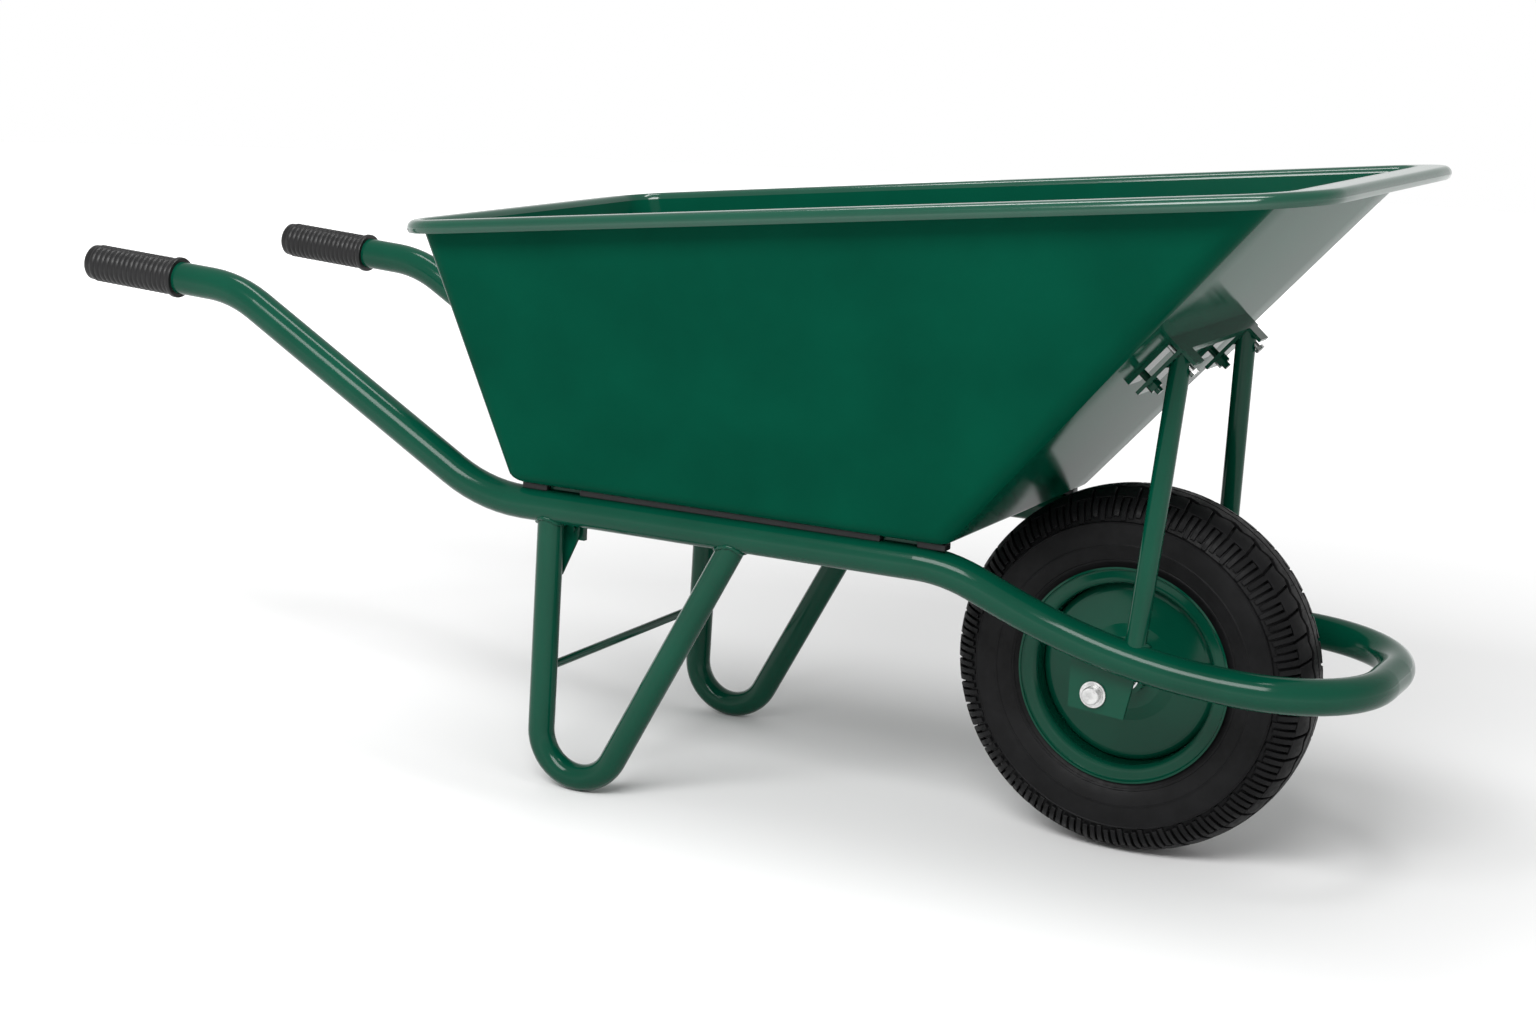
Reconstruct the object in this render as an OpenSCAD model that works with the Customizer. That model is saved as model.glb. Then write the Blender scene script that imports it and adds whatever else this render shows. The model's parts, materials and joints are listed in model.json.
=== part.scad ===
// Single-wheel barrow: bent-tube frame with a nose hoop, two U-shaped legs,
// a deep pressed tray, two front stays and a pneumatic wheel on ball bearings.
// Millimetres. X points forward to the nose, Y to the left hand, Z up.
// The origin is on the ground under the middle of the whole barrow.

/* [Tray] */
// Length of the flat tray floor
floor_len = 527; // [440:1:640]
// Width of the flat tray floor
floor_w = 424; // [380:1:440]
// Gap between the tyre and the tray's front wall
tyre_gap = 8.19; // [6:0.01:30]
// Height of the rim at the back of the tray
rim_rear_h = 630; // [560:1:660]
// Height of the rim at the front of the tray
rim_front_h = 740; // [700:1:780]
// Lean of the side walls from upright, in degrees
side_lean = 8.4; // [5:0.1:12]
// Lean of the back wall from upright, in degrees
rear_lean = 20.9; // [15:0.1:28]
// Lean of the front wall from upright, in degrees
front_lean = 40.8; // [36:0.1:44]
// Thickness of the tray's steel sheet
tray_t = 1.5; // [1:0.1:2.5]
// Outside radius of the edge round the floor
floor_r = 18; // [10:1:28]
// Outside radius of the tray's upright corners at the rim
corner_r = 30; // [18:1:45]
// Corner radius of the rim, seen from above
rim_corner_r = 84; // [60:1:100]
// How far the rim stands out past the back and side walls
rim_out = 26; // [20:1:34]
// How far the rim stands out past the front wall
rim_front_out = 44; // [30:1:55]
// Depth of the rim's turned-down edge
rim_drop = 14; // [10:1:20]

/* [Frame tube] */
// Outside diameter of the frame tube
tube_d = 38; // [31:0.1:42]
// Wall thickness of the frame tube
tube_wall = 2; // [1.5:0.1:3]
// Distance from the upper handle bend back to the handle ends
handle_end_run = 209; // [190:1:320]
// Height of the handle ends
handle_h = 535; // [480:1:600]
// Distance between the handle centrelines at their ends
handle_gap = 384; // [360:1:440]
// Distance from the lower handle bend back to the upper one
handle_rise_run = 350; // [320:1:400]
// Height of the upper handle bend
upper_bend_h = 523.5; // [470:0.5:580]
// Radius of the upper handle bend
upper_bend_r = 150; // [100:5:200]
// Distance from the back edge of the tray floor to the lower handle bend
lower_bend_gap = 43; // [30:1:80]
// Radius of the lower handle bend
lower_bend_r = 190; // [120:5:220]
// Distance between the rail centrelines under the tray
rail_gap = 372; // [340:1:390]
// Height of the rails under the tray
rail_h = 322; // [300:1:350]
// Distance from the front edge of the tray floor back to the bend where the rails dive
dive_in = 4; // [0:1:30]
// Radius of that bend
dive_r = 120; // [90:5:150]
// Distance between the tube corners beside the wheel
waist_gap = 278; // [260:1:300]
// Height of the tube corners beside the wheel above the axle
waist_rise = 39; // [34:1:46]
// Distance from the axle forward to those corners
waist_fwd = 9; // [0:1:20]
// Bend radius beside the wheel
waist_r = 420; // [350:10:450]
// Distance between the corners of the nose hoop
nose_gap = 308; // [280:1:330]
// Distance from the tyre forward to the nose of the hoop
nose_clear = 70; // [60:1:100]
// Height of the nose above the axle
nose_rise = 29; // [20:1:40]
// Bend radius of the nose corners
nose_r = 122; // [100:1:130]

/* [Legs] */
// Outside diameter of the leg tube
leg_d = 30; // [26:0.5:34]
// Wall thickness of the leg tube
leg_wall = 1.8; // [1.2:0.1:2.5]
// Distance from the back edge of the tray floor forward to the rear uprights
leg_in = 44; // [30:1:80]
// Distance between the tops of the rear upright and the front member
leg_spread = 236; // [200:1:270]
// Distance from the top of the rear upright forward to the middle of the foot bend
foot_fwd = 45; // [40:1:60]
// Centreline radius of the foot bend
foot_r = 50; // [40:1:60]
// Diameter of the rod between the legs
brace_d = 10; // [8:1:14]
// Height of that rod
brace_h = 134; // [100:1:180]
// Thickness of the gusset plates
gusset_t = 4; // [3:0.5:6]
// Height of the gusset plates
gusset_len = 66; // [50:1:80]
// Diameter of the bolts through the gusset plates
gusset_bolt_d = 6; // [5:0.5:8]

/* [Cross bars] */
// Thickness of the flat bars that carry the tray
bar_t = 6; // [5:0.5:8]
// Width of those bars
bar_w = 40; // [30:1:50]
// Distance from the front edge of the tray floor back to the front bar
front_bar_in = 57; // [40:1:90]
// Sideways distance between the two tray bolts in a bar
tray_bolt_gap = 220; // [160:1:260]
// Diameter of the tray bolts
tray_bolt_d = 8; // [6:1:10]

/* [Front stays] */
// Outside diameter of the stay tubes
stay_d = 22; // [18:0.5:26]
// Wall thickness of the stay tubes
stay_wall = 1.6; // [1.2:0.1:2.5]
// Distance between the stays at their upper ends
stay_top_gap = 224; // [200:1:250]
// Distance from the axle forward to the feet of the stays
stay_foot_fwd = 43; // [36:1:50]
// How far up the front wall the stay axes aim
stay_aim = 275; // [260:1:290]
// How far off the front wall the stay axes aim
stay_off = 33; // [28:1:38]
// Thickness of the bracket under the tray front
bracket_t = 4; // [3:0.5:6]
// How far up the front wall the top flange of the bracket is
bracket_top = 304; // [298:1:320]
// Length of the bracket's two wings down the wall
wing_len = 66; // [60:1:80]
// Width of each wing
wing_w = 34; // [28:1:44]
// Depth of the bracket off the front wall
bracket_out = 18; // [14:1:22]
// Height of the bracket's long edges between its wings
bracket_lip = 9; // [8:1:22]
// How far the bracket's caps reach out over the stays
cap_out = 36; // [32:1:42]
// Diameter of the bolts through the wings
wing_bolt_d = 8; // [6:1:10]
// Diameter of the bolts through the tops of the stays
stay_bolt_d = 6; // [5:1:8]

/* [Axle] */
// Diameter of the axle
axle_d = 19; // [16:0.1:23]
// Thickness of the axle plates
plate_t = 5; // [4:0.5:8]
// How far the plates sit inside the tube centreline
plate_in = 15; // [11:0.5:16]
// Depth of the plates below the axle
plate_drop = 22; // [18:1:28]
// How far the axle ends stand out past the washers
axle_out = 8; // [6:0.5:12]
// Outside diameter of the axle washers
washer_d = 28; // [28:0.5:34]
// Thickness of the axle washers
washer_t = 2.5; // [1.5:0.1:4]
// Wall of the spacer sleeves on the axle
sleeve_wall = 2.5; // [2:0.1:4]

/* [Wheel] */
// Radius of the tyre
wheel_r = 200; // [180:1:240]
// Width of the tyre
tyre_w = 108; // [100:1:112]
// Gap between the tyre's section and the bead seat
tyre_lift = 2.5; // [1:0.5:6]
// Thickness of the tyre's sidewalls
tyre_side_t = 9; // [7:0.5:12]
// Radius of the bead seat on the rim
seat_r = 101.5; // [84:0.1:103]
// Width between the rim's flanges
rim_w = 89; // [86:0.5:92]
// Height of the rim's flanges over the bead seat
flange_h = 16.5; // [15:0.5:17.5]
// Thickness of the rim's steel sheet
rim_t = 2.2; // [1.8:0.1:3]
// Distance from the wheel's middle plane to each disc face
disc_off = 27; // [22:1:30]
// Radius of the edge between a disc and its skirt
disc_edge_r = 9; // [5:0.5:12]
// Thickness of the disc sheet
disc_t = 2.2; // [1.8:0.1:3]
// Outside diameter of the hub
hub_d = 46; // [44:0.5:52]
// Length of the hub
hub_len = 90; // [80:1:100]
// Outside diameter of the wheel bearings
bearing_od = 35; // [32:0.5:37]
// Width of the wheel bearings
bearing_w = 12; // [10:0.5:14]
// Number of balls in each bearing
ball_count = 9; // [7:1:10]
// Height of the valve above the forward direction, in degrees
valve_angle = 12; // [5:1:70]
// Diameter of the valve stem
valve_d = 8; // [6:0.5:10]
// Length of the valve stem inside the rim
valve_len = 20; // [14:1:26]

/* [Grips] */
// Length of the grips
grip_len = 131; // [110:1:150]
// Diameter of the grips over their ribs
grip_d = 44; // [42:0.5:48]
// Diameter of the collar at the inner end of a grip
collar_d = 48; // [46:0.5:54]
// Number of ribs on a grip
grip_ribs = 16; // [10:1:20]
// Depth of the ribs
rib_depth = 1.2; // [0.6:0.1:1.6]

/* [Fits] */
// Gap left between welded or seated pieces
seat_gap = 0.15; // [0.1:0.05:0.3]
// Radial clearance of bolts in their holes
bolt_gap = 0.3; // [0.2:0.05:0.6]
// Radial clearance of the bearings on the axle and in the hub
bearing_gap = 0.02; // [0.01:0.01:0.05]
// Radial clearance between the balls and the rings
ball_gap = 0.06; // [0.04:0.01:0.1]

/* [Hidden] */
$fn = 64;

paint = "darkgreen";
zinc = "silver";
black_rubber = [0.08, 0.08, 0.08];
sides = [1, -1];
nut_sides = 6;

// --- vectors and arcs ------------------------------------------------------
function unit(v) = v / norm(v);

// A bend is [corner, radius]; these describe the arc that rounds corner b of the path a-b-c.
function turn(a, b, c) = acos(unit(b - a) * unit(c - b));
function setback(a, b, c, r) = r * tan(turn(a, b, c) / 2);
function arc_start(a, b, c, r) = b - unit(b - a) * setback(a, b, c, r);
function inward(a, b, c) = unit(unit(c - b) - (unit(b - a) * unit(c - b)) * unit(b - a));
function arc_centre(a, b, c, r) = arc_start(a, b, c, r) + inward(a, b, c) * r;
function arc_point(a, b, c, r, t) =
    arc_centre(a, b, c, r) + r * (sin(t) * unit(b - a) - cos(t) * inward(a, b, c));
// Angle along the arc at which its X coordinate is x
function arc_angle_at(a, b, c, r, x) =
    let (p = unit(b - a)[0], q = inward(a, b, c)[0], d = (x - arc_centre(a, b, c, r)[0]) / r)
    asin(d / norm([p, q])) + atan2(q, p);

// --- places along the barrow, measured from the point on the ground under the axle --------
axle_h = wheel_r;
floor_z = rail_h + tube_d / 2 + bar_t + seat_gap;
// The front wall stands tyre_gap off the tyre
floor_back = (wheel_r + tyre_gap - (floor_z - axle_h) * sin(front_lean)) / cos(front_lean);
dive_back = floor_back + dive_in;
front_bar_back = floor_back + front_bar_in;
leg_rear_back = floor_back + floor_len - leg_in;
leg_front_back = leg_rear_back - leg_spread;
foot_back = leg_rear_back - foot_fwd;
lower_bend_back = floor_back + floor_len + lower_bend_gap;
upper_bend_back = lower_bend_back + handle_rise_run;
handle_reach = upper_bend_back + handle_end_run;
nose_fwd = wheel_r + nose_clear;

// --- frame path --------------------------------------------------------------
p_end = [-handle_reach, handle_gap / 2, handle_h];
p_upper = [-upper_bend_back, (handle_gap + rail_gap) / 4, upper_bend_h];
p_lower = [-lower_bend_back, rail_gap / 2, rail_h];
p_dive = [-dive_back, rail_gap / 2, rail_h];
p_waist = [waist_fwd, waist_gap / 2, axle_h + waist_rise];
p_nose = [nose_fwd, nose_gap / 2, axle_h + nose_rise];
p_middle = [nose_fwd, 0, axle_h + nose_rise];
path = [p_middle, p_nose, p_waist, p_dive, p_lower, p_upper, p_end];
radii = [0, nose_r, waist_r, dive_r, lower_bend_r, upper_bend_r, 0];

grip_cap = 3;
origin_x = (nose_fwd + tube_d / 2 - handle_reach - grip_cap) / 2;

// Point on the left tube beside the wheel, above or below any x
function waist_at(x) =
    arc_point(p_dive, p_waist, p_nose, waist_r, arc_angle_at(p_dive, p_waist, p_nose, waist_r, x));

// --- tray --------------------------------------------------------------------
floor_front = -floor_back;
floor_rear = floor_front - floor_len;
// Middles of the rounding spheres: at the floor edge, and at the rim where z = h
function low_mid(edge, lean, dir) = edge - dir * floor_r * (1 - sin(lean)) / cos(lean);
function high_mid(edge, lean, dir, h) =
    edge + dir * ((h - floor_z) * sin(lean) - corner_r) / cos(lean);
low_front = low_mid(floor_front, front_lean, 1);
low_rear = low_mid(floor_rear, rear_lean, -1);
low_side = low_mid(floor_w / 2, side_lean, 1);
rim_front = high_mid(floor_front, front_lean, 1, rim_front_h);
rim_rear = high_mid(floor_rear, rear_lean, -1, rim_rear_h);
side_front = high_mid(floor_w / 2, side_lean, 1, rim_front_h);
side_rear = high_mid(floor_w / 2, side_lean, 1, rim_rear_h);
rim_slope = atan2(rim_front_h - rim_rear_h, rim_front - rim_rear);
rim_span = norm([rim_front_h - rim_rear_h, rim_front - rim_rear]);
rim_edge_r = rim_drop / 2;

// --- wheel -------------------------------------------------------------------
lip_r = seat_r + flange_h;
tyre_depth = wheel_r - seat_r - tyre_lift;
section_r = wheel_r - tyre_depth / 2;
squareness = 0.8;
function power(v, e) = sign(v) * pow(abs(v), e);
// Point of a squarish oval section: a across, b deep, t in degrees from the tyre's side
function oval(a, b, t) = [section_r + b * power(sin(t), squareness), a * power(cos(t), squareness)];
// Strip of thickness t centred on a line of points
function heading(pts, i) =
    unit(pts[min(i + 1, len(pts) - 1)] - pts[max(i - 1, 0)]);
function strip(pts, t) = concat(
    [for (i = [0:1:len(pts) - 1]) pts[i] + [-heading(pts, i)[1], heading(pts, i)[0]] * t / 2],
    [for (i = [len(pts) - 1:-1:0]) pts[i] - [-heading(pts, i)[1], heading(pts, i)[0]] * t / 2]);
function arc2(mid, r, from, to, n) =
    [for (i = [0:1:n]) mid + r * [cos(from + (to - from) * i / n), sin(from + (to - from) * i / n)]];

bearing_mid = hub_len / 2 - bearing_w / 2 - 2;
ring_wall = (bearing_od - axle_d) / 8;
ball_pitch_r = (bearing_od + axle_d) / 4;
ball_r = ring_wall * 1.25;
plate_y = waist_at(0)[1] - plate_in;
axle_half = plate_y + plate_t / 2 + washer_t + axle_out;
clip_w = 1.2;

// --- common shapes -------------------------------------------------------------
module at_row() {
    translate([-origin_x, 0, 0]) children();
}

module ring(d, wall) {
    difference() {
        circle(d = d);
        circle(d = d - 2 * wall);
    }
}

// Turns local X to x and local Z to dir
function frame_of(x, dir) =
    let (z = unit(dir), y = cross(z, x))
    [[x[0], y[0], z[0], 0], [x[1], y[1], z[1], 0], [x[2], y[2], z[2], 0], [0, 0, 0, 1]];

// Puts local Z along dir at point p
module along(p, dir) {
    translate(p) multmatrix(frame_of(unit(cross([0, 1, 0], dir)), dir)) children();
}

// Round bend from local Z towards local X
module elbow(r, angle) {
    translate([r, 0, 0]) rotate([-90, 0, 0]) rotate([0, 0, 180])
        rotate_extrude(angle = angle, $fn = 96) translate([r, 0]) children();
}

// Straight parts run this far into the bends, which are thinner by lap_step
lap = 0.5;
lap_step = 0.01;
// Bent bar of radius rad along the points pts from the i-th on, each piece set on the last.
// x is the direction of local X, which each bend turns to face its inner side.
module bent(pts, rs, i, x, rad) {
    n = len(pts) - 1;
    back = i == 0 ? 0 : setback(pts[i - 1], pts[i], pts[i + 1], rs[i]);
    ahead = i == n - 1 ? 0 : setback(pts[i], pts[i + 1], pts[i + 2], rs[i + 1]);
    run = norm(pts[i + 1] - pts[i]) - back - ahead;
    translate([0, 0, i == 0 ? 0 : -lap]) cylinder(h = run + (i == 0 || i == n - 1 ? 1 : 2) * lap, r = rad);
    if (i < n - 1) {
        z = unit(pts[i + 1] - pts[i]);
        face = inward(pts[i], pts[i + 1], pts[i + 2]);
        angle = turn(pts[i], pts[i + 1], pts[i + 2]);
        r = rs[i + 1];
        translate([0, 0, run]) rotate([0, 0, atan2(face * cross(z, x), face * x)]) {
            elbow(r, angle) circle(r = rad - lap_step);
            translate([r, 0, 0]) rotate([0, angle, 0]) translate([-r, 0, 0])
                bent(pts, rs, i + 1, face * cos(angle) - z * sin(angle), rad);
        }
    }
}

// Cylinder with its middle on the Y axis line through [x, z]
module cross_cyl(x, z, y0, y1, d) {
    translate([x, y1, z]) rotate([90, 0, 0]) cylinder(h = y1 - y0, d = d);
}

// Local frame on the outside of the front wall: X up the slope, Z into the tray
module on_front_wall() {
    translate([floor_front, 0, floor_z]) rotate([0, front_lean - 90, 0]) children();
}
function front_wall_point(s, off) = [
    floor_front + s * sin(front_lean) + off * cos(front_lean),
    0,
    floor_z + s * cos(front_lean) - off * sin(front_lean)
];

// --- frame -----------------------------------------------------------------------
module frame_tube() {
    at_row() color(paint)
        for (m = [0, 1])
            mirror([0, m, 0])
                translate(p_middle) rotate([-90, 0, 0])
                    difference() {
                        bent(path, radii, 0, [1, 0, 0], tube_d / 2);
                        bent(path, radii, 0, [1, 0, 0], tube_d / 2 - tube_wall);
                    }
}

// Space that the bend beside the wheel takes up, with the welding gap
module waist_space(side) {
    mirror([0, side < 0 ? 1 : 0, 0])
        translate(arc_start(p_dive, p_waist, p_nose, waist_r))
            multmatrix(frame_of(inward(p_dive, p_waist, p_nose), p_waist - p_dive))
                elbow(waist_r, turn(p_dive, p_waist, p_nose)) circle(d = tube_d + 2 * seat_gap);
}

module grip(side) {
    end = [p_end[0], side * p_end[1], p_end[2]];
    next = [p_upper[0], side * p_upper[1], p_upper[2]];
    dir = unit(next - end);
    collar_len = 7;
    nose_len = 9;
    rib_pitch = (grip_len - collar_len - nose_len) / grip_ribs;
    core_r = grip_d / 2 - rib_depth;
    // Each rib is a low trapezium, closed by the collar
    rib_line = [
        for (i = [0:1:grip_ribs - 1]) each [
            [core_r, nose_len + i * rib_pitch],
            [grip_d / 2, nose_len + (i + 0.25) * rib_pitch],
            [grip_d / 2, nose_len + (i + 0.75) * rib_pitch]
        ]
    ];
    end_arc = arc2([core_r - 6, 6], 6, -90, 0, 6);
    bore_r = tube_d / 2 + seat_gap;
    at_row() color(black_rubber)
        along(end - dir * grip_cap, dir)
            rotate_extrude()
                polygon(concat(
                    [[0, 0]],
                    end_arc,
                    rib_line,
                    [
                        [core_r, grip_len - collar_len],
                        [collar_d / 2, grip_len - collar_len],
                        [collar_d / 2, grip_len],
                        [bore_r, grip_len],
                        [bore_r, grip_cap - seat_gap],
                        [0, grip_cap - seat_gap]
                    ]));
}

module left_grip() {
    grip(1);
}

module right_grip() {
    grip(-1);
}

// --- legs ------------------------------------------------------------------------
foot_mid = [-foot_back, foot_r + leg_d / 2];
// Point where the line from the leg's top end p (in X-Z) touches the foot circle
function foot_touch(p, dir) =
    let (v = p - foot_mid, a = atan2(v[1], v[0]) + dir * acos(foot_r / norm(v)))
    foot_mid + foot_r * [cos(a), sin(a)];
leg_front_top = [-leg_front_back, rail_h];
leg_rear_top = [-leg_rear_back, rail_h];
touch_rear = foot_touch(leg_rear_top, 1);
touch_front = foot_touch(leg_front_top, -1);
// Corner where the two straight parts would meet below the foot
rear_run = unit(touch_rear - leg_rear_top);
front_run = unit(touch_front - leg_front_top);
leg_turn = 180 - acos(rear_run * front_run);
foot_corner = touch_front + front_run * foot_r * tan(leg_turn / 2);

module leg(side) {
    y = side * rail_gap / 2;
    pts = [for (p = [leg_front_top, foot_corner, leg_rear_top]) [p[0], y, p[1]]];
    leg_x = unit(cross([0, 1, 0], pts[1] - pts[0]));
    at_row() color(paint) difference() {
        translate(pts[0])
            multmatrix(frame_of(leg_x, pts[1] - pts[0]))
                difference() {
                    bent(pts, [0, foot_r, 0], 0, leg_x, leg_d / 2);
                    bent(pts, [0, foot_r, 0], 0, leg_x, leg_d / 2 - leg_wall);
                }
        translate([-lower_bend_back - lower_bend_r, y, rail_h])
            rotate([0, 90, 0])
                cylinder(h = lower_bend_back + lower_bend_r, d = tube_d + 2 * seat_gap);
    }
}

module left_leg() {
    leg(1);
}

module right_leg() {
    leg(-1);
}

// X of the rear upright's centreline at height z
function upright_x(z) =
    touch_rear[0] + (leg_rear_top[0] - touch_rear[0]) * (z - touch_rear[1]) / (rail_h - touch_rear[1]);

module leg_brace() {
    at_row() color(paint) difference() {
        cross_cyl(upright_x(brace_h), brace_h, -rail_gap / 2, rail_gap / 2, brace_d);
        for (s = sides)
            along([touch_rear[0], s * rail_gap / 2, touch_rear[1]],
                [leg_rear_top[0] - touch_rear[0], 0, rail_h - touch_rear[1]])
                cylinder(h = rail_h, d = leg_d + 2 * seat_gap);
    }
}

gusset_y = rail_gap / 2 - leg_d / 2 - gusset_t - seat_gap;
gusset_top = rail_h - tube_d / 2 + 4;
gusset_front = upright_x(gusset_top) + leg_d / 2 + 13;
gusset_bolt_x = gusset_front - 9;
gusset_bolt_z = gusset_top - 10;
tab_y = gusset_y - bar_t - seat_gap;

// Tapered plate on the inner side of a rear upright
module gusset(side) {
    back = upright_x(gusset_top) - 6;
    corner = 6;
    at_row() color(paint) difference() {
        translate([0, side > 0 ? gusset_y + gusset_t : -gusset_y, 0])
            rotate([90, 0, 0])
                linear_extrude(height = gusset_t)
                    polygon(concat(
                        [[back, gusset_top - gusset_len]],
                        [[back + 12, gusset_top - gusset_len]],
                        arc2([gusset_front - corner, gusset_top - 16], corner, -20, 0, 3),
                        arc2([gusset_front - corner, gusset_top - corner], corner, 0, 90, 6),
                        [[back, gusset_top]]));
        cross_cyl(gusset_bolt_x, gusset_bolt_z, -rail_gap, rail_gap, gusset_bolt_d + 2 * bolt_gap);
    }
}

module left_gusset() {
    gusset(1);
}

module right_gusset() {
    gusset(-1);
}

module gusset_bolts() {
    head = 4;
    reach = gusset_t + bar_t + 8;
    at_row() color(zinc)
        for (s = sides)
            mirror([0, s < 0 ? 1 : 0, 0])
                translate([gusset_bolt_x, gusset_y + gusset_t + seat_gap, gusset_bolt_z])
                    rotate([90, 0, 0]) {
                        cylinder(h = reach, d = gusset_bolt_d);
                        translate([0, 0, -head]) cylinder(h = head, d = gusset_bolt_d * 1.9, $fn = nut_sides);
                    }
}

module nut(d, h) {
    difference() {
        cylinder(h = h, d = d * 1.95, $fn = nut_sides);
        translate([0, 0, -1]) cylinder(h = h + 2, d = d + 2 * seat_gap);
    }
}

module gusset_nuts() {
    at_row() color(zinc)
        for (s = sides)
            mirror([0, s < 0 ? 1 : 0, 0])
                translate([gusset_bolt_x, tab_y - seat_gap, gusset_bolt_z])
                    rotate([90, 0, 0]) nut(gusset_bolt_d, 5);
}

// --- cross bars and the bolts that hold the tray ---------------------------------------
bar_z = rail_h + tube_d / 2 + seat_gap / 2;
// The rear bar lies over the gusset bolts, which its turned-down ends hang on
rear_bar_back = -gusset_bolt_x;
tray_bolts_at = [for (x = [-rear_bar_back, -front_bar_back], s = sides) [x, s * tray_bolt_gap / 2]];

module bolt_holes(d, z0, z1) {
    for (p = tray_bolts_at)
        translate([p[0], p[1], z0]) cylinder(h = z1 - z0, d = d + 2 * bolt_gap);
}

module bar_top(back) {
    translate([-back - bar_w / 2, -rail_gap / 2, bar_z]) cube([bar_w, rail_gap, bar_t]);
}

// Flat bar with ends turned down to the gussets
module rear_cross_bar() {
    tab_w = 26;
    tab_bottom = gusset_bolt_z - 14;
    at_row() color(paint) difference() {
        union() {
            bar_top(rear_bar_back);
            for (s = sides)
                mirror([0, s < 0 ? 1 : 0, 0])
                    translate([gusset_bolt_x - tab_w / 2, tab_y, tab_bottom])
                        cube([tab_w, bar_t, bar_z + bar_t - tab_bottom]);
        }
        bolt_holes(tray_bolt_d, bar_z - 1, bar_z + bar_t + 1);
        cross_cyl(gusset_bolt_x, gusset_bolt_z, -rail_gap, rail_gap, gusset_bolt_d + 2 * bolt_gap);
    }
}

module front_cross_bar() {
    at_row() color(paint) difference() {
        bar_top(front_bar_back);
        bolt_holes(tray_bolt_d, bar_z - 1, bar_z + bar_t + 1);
    }
}

module tray_bolts() {
    head_h = 4;
    shank = tray_t + bar_t + 14;
    at_row() color(zinc)
        for (p = tray_bolts_at)
            translate([p[0], p[1], floor_z + tray_t + seat_gap]) {
                translate([0, 0, -shank]) cylinder(h = shank, d = tray_bolt_d);
                // Low domed head, as on a coach bolt
                rotate_extrude()
                    polygon(concat([[0, 0]],
                        [for (a = [0:15:90]) [tray_bolt_d * 1.1 * cos(a), head_h * sin(a)]]));
            }
}

module tray_washers() {
    thick = 1.6;
    at_row() color(zinc)
        for (p = tray_bolts_at)
            translate([p[0], p[1], bar_z - thick - seat_gap])
                linear_extrude(height = thick)
                    ring(tray_bolt_d * 2, tray_bolt_d / 2 - seat_gap);
}

module tray_nuts() {
    washer = 1.6;
    at_row() color(zinc)
        for (p = tray_bolts_at)
            translate([p[0], p[1], bar_z - washer - 2 * seat_gap - tray_bolt_d * 0.8])
                nut(tray_bolt_d, tray_bolt_d * 0.8);
}

// --- tray -------------------------------------------------------------------------------
// Solid bounded by the tray's outer faces, taken in by t
module tray_space(t) {
    hull() {
        for (s = sides) {
            for (x = [low_front, low_rear])
                translate([x, s * low_side, floor_z + floor_r]) sphere(r = floor_r - t, $fn = 32);
            translate([rim_front, s * side_front, rim_front_h]) sphere(r = corner_r - t, $fn = 48);
            translate([rim_rear, s * side_rear, rim_rear_h]) sphere(r = corner_r - t, $fn = 48);
        }
    }
}

// Local frame of the rim: X forward along it, Z out of the tray
module on_rim() {
    translate([rim_rear, 0, rim_rear_h]) rotate([0, -rim_slope, 0]) children();
}
rim_tuck = rim_corner_r - corner_r - rim_out;
rim_corners = [
    for (s = sides) each [
        [rim_tuck, s * (side_rear - rim_tuck)],
        [rim_span + rim_front_out - rim_out - rim_tuck, s * (side_front - rim_tuck)]
    ]
];

// Slab with a round edge all round, as deep as the rim
module rim_slab(t, drop) {
    hull()
        for (c = rim_corners)
            translate([c[0], c[1], -rim_edge_r]) {
                rotate_extrude($fn = 48)
                    translate([rim_corner_r - rim_edge_r, 0])
                        circle(r = rim_edge_r - t, $fn = 16);
                if (drop > 0)
                    translate([0, 0, -drop])
                        cylinder(h = drop, r = rim_corner_r - t, $fn = 48);
            }
}

module tray() {
    deep = 2 * rim_drop;
    above = 2 * corner_r;
    at_row() color(paint) difference() {
        union() {
            difference() {
                tray_space(0);
                on_rim() translate([-rim_span / 2, -floor_w, 0]) cube([2 * rim_span, 2 * floor_w, above]);
            }
            on_rim() rim_slab(0, 0);
        }
        tray_space(tray_t);
        difference() {
            on_rim() rim_slab(tray_t, deep);
            tray_space(0);
        }
        bolt_holes(tray_bolt_d, floor_z - 1, floor_z + tray_t + 1);
        on_front_wall()
            for (s = sides) {
                translate([wing_bolt_s, s * wing_bolt_y, -1])
                    cylinder(h = tray_t + 2, d = wing_bolt_d + 2 * bolt_gap);
                translate([stay_bolt_s, s * stay_bolt_y, -1])
                    cylinder(h = tray_t + 2, d = stay_bolt_d + 2 * bolt_gap);
            }
    }
}

// --- front stays and their bracket ------------------------------------------------------
stay_top = front_wall_point(stay_aim, stay_off) + [0, stay_top_gap / 2, 0];
stay_foot = waist_at(stay_foot_fwd);
stay_dir = unit(stay_top - stay_foot);
wing_bolt_s = bracket_top - wing_len + 14;
wing_bolt_y = stay_top_gap / 2;
stay_bolt_s = bracket_top - bracket_t - 8;
stay_bolt_y = stay_top_gap / 2 - 1;
stay_face = bracket_out + 2 * seat_gap;

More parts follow.
